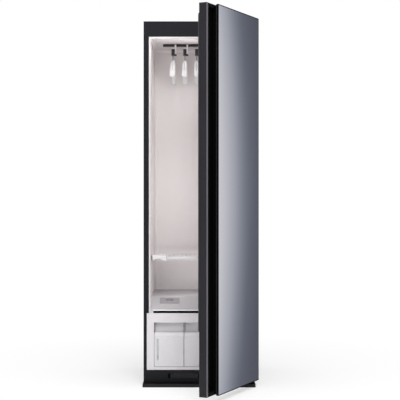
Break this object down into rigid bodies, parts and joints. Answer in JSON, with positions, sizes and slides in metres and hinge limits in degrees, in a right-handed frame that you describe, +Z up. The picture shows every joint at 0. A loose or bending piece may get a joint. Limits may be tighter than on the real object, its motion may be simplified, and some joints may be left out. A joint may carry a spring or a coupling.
{
  "type": "clothes care steam cabinet",
  "caption": "Tall free-standing clothes care cabinet with a hinged mirror door, hanging rail, shelf, slide-out water tanks and a steam and heat pump base.",
  "frame": {"origin": "on the floor under the middle of the casing (its closed footprint, without the door)", "axes": "+Z up, +X to the right as seen from the front, +Y to the back; the door is hinged on the right and stands open 63 degrees at rest"},
  "size_m": [0.6174, 1.1269, 1.96],
  "materials": {
    "casing_paint": "satin",
    "bare_steel": "satin",
    "black_plastic": "matte",
    "black_gloss": "gloss",
    "white_trim": "gloss",
    "liner_plastic": "satin",
    "white_plastic": "satin",
    "grey_plastic": "matte",
    "rail_metal": "satin",
    "post_chrome": "polished",
    "tank_plastic": "satin",
    "door_metal": "satin",
    "mirror_glass": "polished",
    "core_board": "matte",
    "seal_rubber": "matte",
    "cast_aluminium": "satin",
    "copper_pipe": "satin"
  },
  "bodies": {
    "cabinet": {"left_side_panel": "casing_paint", "right_side_panel": "casing_paint", "top_panel": "casing_paint", "back_panel": "casing_paint", "front_header": "casing_paint", "plinth_panel": "casing_paint", "base_tray": "bare_steel", "floor_frame": "black_plastic", "rear_feet": "seal_rubber", "case_screws": "bare_steel", "cord_gland": "black_plastic", "opening_trim": "white_trim", "liner_left": "liner_plastic", "liner_right": "liner_plastic", "liner_back": "liner_plastic", "liner_ceiling": "liner_plastic", "chamber_floor": "liner_plastic", "hanger_rail": "rail_metal", "hanger_posts": "post_chrome", "hanger_sockets": "black_plastic", "bay_fascia": "white_trim", "tank_bay": "grey_plastic", "blank_cover": "white_trim", "upper_hinge_arm": "bare_steel", "lower_hinge_bracket": "bare_steel", "fan_housings": "grey_plastic", "fan_motors": "bare_steel", "heat_exchangers": "cast_aluminium", "compressor": "rail_metal", "refrigerant_pipes": "copper_pipe", "steam_generator": "cast_aluminium", "steam_nozzle": "grey_plastic", "water_pumps": "black_plastic", "control_box": "grey_plastic"},
    "door": {"door_frame": "door_metal", "door_core": "core_board", "door_liner": "white_plastic", "door_gasket": "seal_rubber", "grip_channel": "black_gloss", "control_panel": "black_gloss", "glass_backing": "core_board", "door_glass": "mirror_glass", "hinge_bushes": "grey_plastic"},
    "shelf": {"shelf": "white_plastic"},
    "lint_filter": {"lint_filter": "grey_plastic"},
    "supply_tank": {"supply_tank": "tank_plastic", "supply_tank_front": "white_trim"},
    "supply_tank_cap": {"supply_tank_cap": "grey_plastic"},
    "drain_tank": {"drain_tank": "tank_plastic", "drain_tank_front": "white_trim"},
    "drain_tank_cap": {"drain_tank_cap": "grey_plastic"},
    "upper_fan": {"upper_fan_wheel": "black_plastic"},
    "lower_fan": {"lower_fan_wheel": "black_plastic"},
    "left_front_foot": {"left_front_foot": "seal_rubber"},
    "right_front_foot": {"right_front_foot": "seal_rubber"},
    "hanger_1": {"hanger_1": "white_plastic"},
    "hanger_2": {"hanger_2": "white_plastic"},
    "hanger_3": {"hanger_3": "white_plastic"},
    "hanger_4": {"hanger_4": "white_plastic"},
    "hanger_5": {"hanger_5": "white_plastic"}
  },
  "joints": [
    {"name": "door_swing", "type": "hinge", "parent": "cabinet", "child": "door", "pos_m": [0.2825, -0.315, 0], "axis": [0, 0, 1], "range_deg": [-63, 47]},
    {"name": "shelf_lift", "type": "slide", "parent": "cabinet", "child": "shelf", "axis": [0, 0, 1], "range_m": [0, 0.06]},
    {"name": "lint_filter_pull", "type": "slide", "parent": "cabinet", "child": "lint_filter", "axis": [0, -0.4472, 0.8944], "range_m": [0, 0.11]},
    {"name": "supply_tank_pull", "type": "slide", "parent": "cabinet", "child": "supply_tank", "axis": [0, -1, 0], "range_m": [0, 0.26]},
    {"name": "supply_cap_turn", "type": "hinge", "parent": "supply_tank", "child": "supply_tank_cap", "pos_m": [-0.16133, -0.165, 0.32], "axis": [0, 0, 1], "range_deg": [0, 90]},
    {"name": "drain_tank_pull", "type": "slide", "parent": "cabinet", "child": "drain_tank", "axis": [0, -1, 0], "range_m": [0, 0.26]},
    {"name": "drain_cap_turn", "type": "hinge", "parent": "drain_tank", "child": "drain_tank_cap", "pos_m": [0, -0.165, 0.32], "axis": [0, 0, 1], "range_deg": [0, 90]},
    {"name": "upper_fan_spin", "type": "hinge", "parent": "cabinet", "child": "upper_fan", "pos_m": [0.06, 0, 1.89], "axis": [0, 0, 1], "continuous": true},
    {"name": "lower_fan_spin", "type": "hinge", "parent": "cabinet", "child": "lower_fan", "pos_m": [0.18, 0.13, 0.42], "axis": [0, 0, 1], "continuous": true},
    {"name": "left_foot_turn", "type": "hinge", "parent": "cabinet", "child": "left_front_foot", "pos_m": [-0.22, -0.223, 0], "axis": [0, 0, 1], "continuous": true},
    {"name": "right_foot_turn", "type": "hinge", "parent": "cabinet", "child": "right_front_foot", "pos_m": [0.22, -0.223, 0], "axis": [0, 0, 1], "continuous": true},
    {"name": "hanger_1_swing", "type": "hinge", "parent": "cabinet", "child": "hanger_1", "pos_m": [-0.1455, -0.034, 1.818], "axis": [1, 0, 0], "range_deg": [-8, 8]},
    {"name": "hanger_2_swing", "type": "hinge", "parent": "cabinet", "child": "hanger_2", "pos_m": [-0.0795, -0.034, 1.818], "axis": [1, 0, 0], "range_deg": [-8, 8]},
    {"name": "hanger_3_swing", "type": "hinge", "parent": "cabinet", "child": "hanger_3", "pos_m": [-0.0135, -0.034, 1.818], "axis": [1, 0, 0], "range_deg": [-8, 8]},
    {"name": "hanger_4_swing", "type": "hinge", "parent": "cabinet", "child": "hanger_4", "pos_m": [0.0525, -0.034, 1.818], "axis": [1, 0, 0], "range_deg": [-8, 8]},
    {"name": "hanger_5_swing", "type": "hinge", "parent": "cabinet", "child": "hanger_5", "pos_m": [0.1185, -0.034, 1.818], "axis": [1, 0, 0], "range_deg": [-8, 8]}
  ]
}
